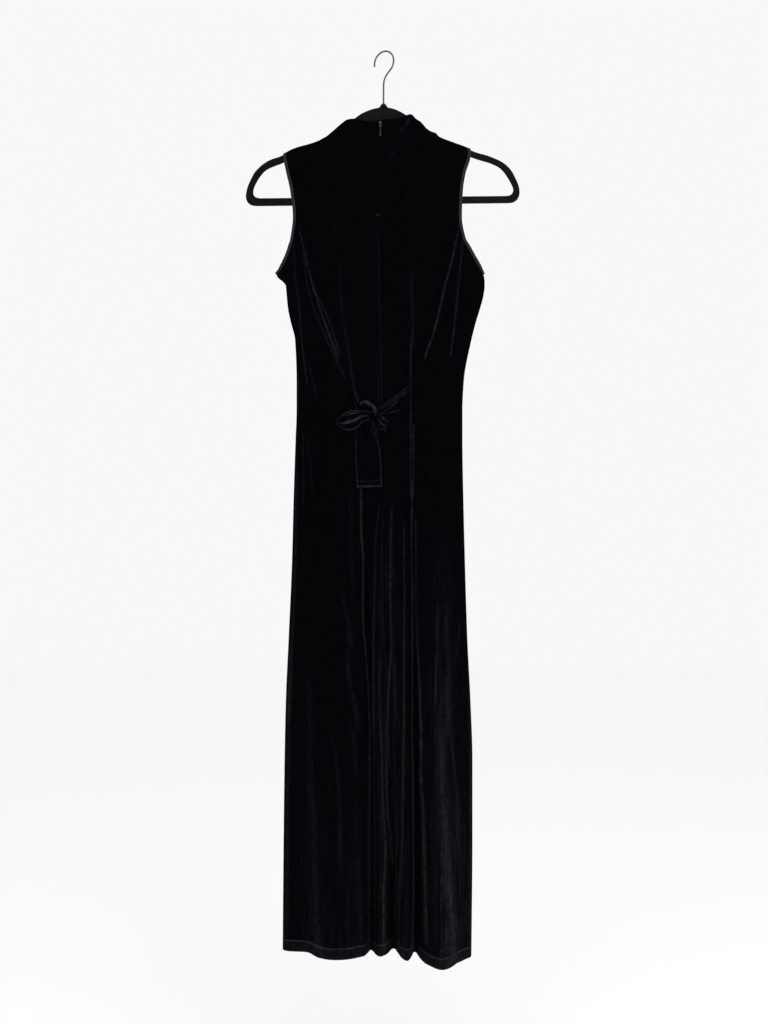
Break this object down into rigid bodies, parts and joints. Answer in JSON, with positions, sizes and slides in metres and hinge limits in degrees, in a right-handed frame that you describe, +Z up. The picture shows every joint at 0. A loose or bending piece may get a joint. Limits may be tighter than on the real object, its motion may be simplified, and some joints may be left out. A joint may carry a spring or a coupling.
{
  "type": "maxi dress on hanger",
  "caption": "Sleeveless stretch velvet maxi dress with a standing neck, short back zip and tied back belt, hanging on a flocked hanger.",
  "frame": {"origin": "hold point of the hanger hook, at the inner top of its bend", "axes": "+Z up, -Y out of the back of the dress, X across it"},
  "size_m": [0.4472, 0.0819, 1.4831],
  "materials": {
    "velvet": "black stretch velvet pile",
    "binding": "smooth dull knit binding",
    "zip_tape": "woven zip tape",
    "zip_metal": "dark plated metal",
    "flock": "black flocking on plastic",
    "hook_metal": "chromed steel wire"
  },
  "bodies": {
    "dress": {"back_side_left": "velvet", "back_center_left": "velvet", "back_center_right": "velvet", "back_side_right": "velvet", "front": "velvet", "tie_strap_left": "velvet", "tie_strap_right": "velvet", "tie_knot": "velvet", "tie_loop_left": "velvet", "tie_loop_right": "velvet", "tie_tail_front": "velvet", "tie_tail_back": "velvet", "armhole_binding_left": "binding", "armhole_binding_right": "binding", "zip_tape": "zip_tape", "zip_slider": "zip_metal", "hanger_body": "flock", "hook_collar": "flock", "hanger_hook": "hook_metal"},
    "pull_tab": {"zip_pull": "zip_metal"}
  },
  "joints": [
    {"name": "pull_tab_swing", "type": "hinge", "parent": "dress", "child": "pull_tab", "pos_m": [-0.0059, -0.01715, -0.121], "axis": [-1, 0, 0], "range_deg": [0, 150]}
  ]
}
